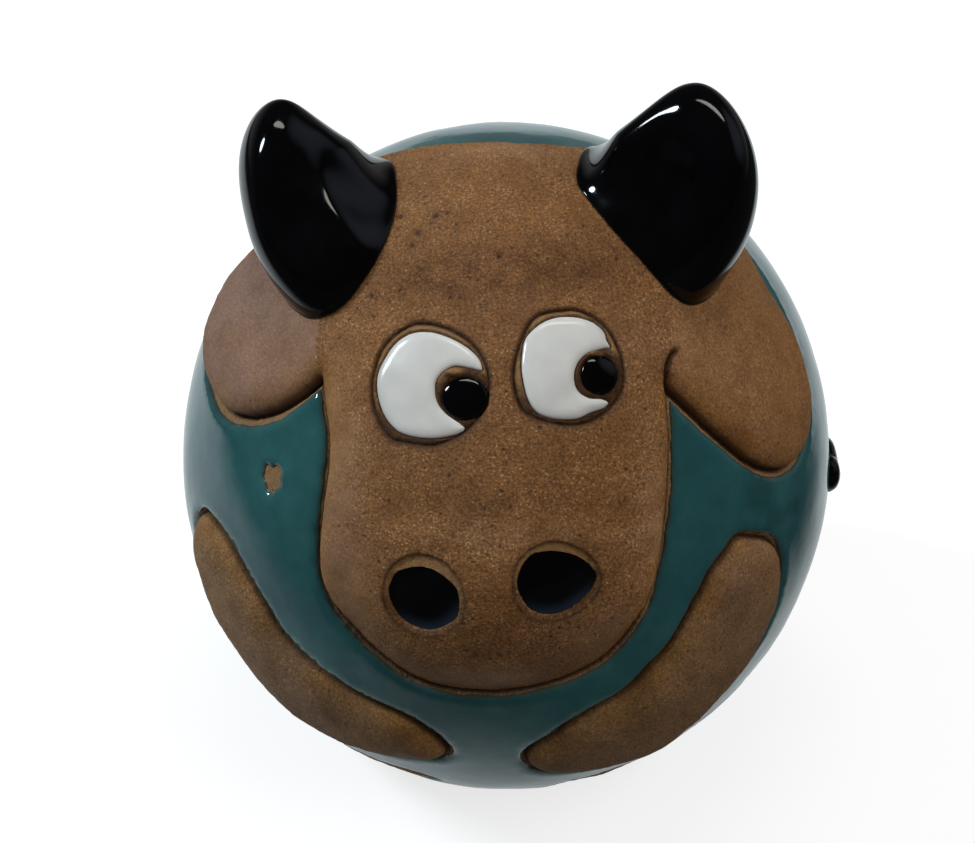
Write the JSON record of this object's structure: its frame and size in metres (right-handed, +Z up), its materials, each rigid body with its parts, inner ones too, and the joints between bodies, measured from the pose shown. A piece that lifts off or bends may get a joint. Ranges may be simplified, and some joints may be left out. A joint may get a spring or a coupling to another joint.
{
  "type": "cow figurine",
  "caption": "Ball-shaped hollow clay cow figurine with a relief head, ears, legs and tail, upright horns and gloss glazes, standing on a small flat foot.",
  "frame": {"origin": "centre of the flat foot, on the surface that the cow stands on", "axes": "+Z up, -Y where the cow looks, +X to the right as seen from the front"},
  "size_m": [0.0773, 0.0823, 0.0855],
  "materials": {
    "clay": "matte",
    "teal_glaze": "gloss",
    "black_glaze": "gloss",
    "white_glaze": "gloss"
  },
  "bodies": {
    "root": {"body": "clay", "body_glaze": "teal_glaze", "head": "clay", "left_ear": "clay", "right_ear": "clay", "left_horn": "clay", "right_horn": "clay", "left_horn_glaze": "black_glaze", "right_horn_glaze": "black_glaze", "left_eye_white": "white_glaze", "right_eye_white": "white_glaze", "left_pupil": "black_glaze", "right_pupil": "black_glaze", "left_nostril": "black_glaze", "right_nostril": "black_glaze", "left_front_leg": "clay", "right_front_leg": "clay", "left_hind_leg": "clay", "right_hind_leg": "clay", "tail": "clay", "tail_tuft": "clay", "tail_tuft_glaze": "black_glaze"}
  },
  "joints": []
}
